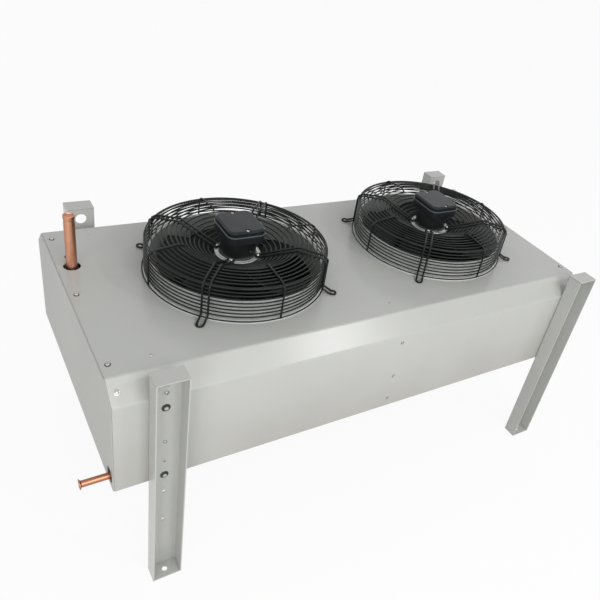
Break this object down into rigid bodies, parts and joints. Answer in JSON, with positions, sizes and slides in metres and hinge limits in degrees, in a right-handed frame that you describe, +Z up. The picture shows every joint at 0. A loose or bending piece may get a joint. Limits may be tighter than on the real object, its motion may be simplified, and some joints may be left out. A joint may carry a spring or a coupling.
{
  "type": "twin-fan flat-bed dry cooler",
  "caption": "Flat-bed air-cooled heat exchanger on channel legs, with guarded axial fans blowing upwards, a bevelled sheet-metal casing and copper pipe connections at one end.",
  "frame": {"origin": "middle of the four anchor holes in the legs' foot plates, at floor level", "axes": "+X along the casing away from the headers, +Y from the front to the back, +Z up"},
  "size_m": [1.566, 0.824, 0.797],
  "materials": {
    "casing_paint": "satin",
    "zinc_sheet": "satin",
    "fin_aluminium": "satin",
    "copper": "satin",
    "grommet_rubber": "matte",
    "bolt_zinc": "satin",
    "bearing_steel": "polished",
    "guard_black": "satin",
    "flange_aluminium": "satin",
    "stator_steel": "matte",
    "motor_black": "satin",
    "box_black": "satin",
    "impeller_black": "satin"
  },
  "bodies": {
    "casing": {"cowl": "casing_paint", "end_panel_left": "casing_paint", "end_panel_right": "casing_paint", "tube_sheet_left": "zinc_sheet", "tube_sheet_right": "zinc_sheet", "fin_pack": "fin_aluminium", "fan_partition": "zinc_sheet", "inlet_header": "copper", "inlet_stub": "copper", "outlet_header": "copper", "return_bends": "copper", "cable_grommet": "grommet_rubber", "leg_front_left": "casing_paint", "leg_back_left": "casing_paint", "leg_front_right": "casing_paint", "leg_back_right": "casing_paint", "leg_bolts": "bolt_zinc", "motor_bearings": "bearing_steel", "fan_1_collar": "casing_paint", "fan_1_guard_basket": "guard_black", "fan_1_guard_grille": "guard_black", "fan_1_motor_flange": "flange_aluminium", "fan_1_stator": "stator_steel", "fan_1_motor_cap": "motor_black", "fan_1_terminal_box": "box_black", "fan_1_terminal_lid": "box_black", "fan_1_cable_gland": "box_black", "fan_2_collar": "casing_paint", "fan_2_guard_basket": "guard_black", "fan_2_guard_grille": "guard_black", "fan_2_motor_flange": "flange_aluminium", "fan_2_stator": "stator_steel", "fan_2_motor_cap": "motor_black", "fan_2_terminal_box": "box_black", "fan_2_terminal_lid": "box_black", "fan_2_cable_gland": "box_black"},
    "fan_1_rotor": {"fan_1_impeller": "impeller_black"},
    "fan_2_rotor": {"fan_2_impeller": "impeller_black"}
  },
  "joints": [
    {"name": "fan_1_spin", "type": "hinge", "parent": "casing", "child": "fan_1_rotor", "pos_m": [-0.348, 0, 0.645], "axis": [0, 0, 1], "continuous": true},
    {"name": "fan_2_spin", "type": "hinge", "parent": "casing", "child": "fan_2_rotor", "pos_m": [0.326, 0, 0.645], "axis": [0, 0, 1], "continuous": true}
  ]
}
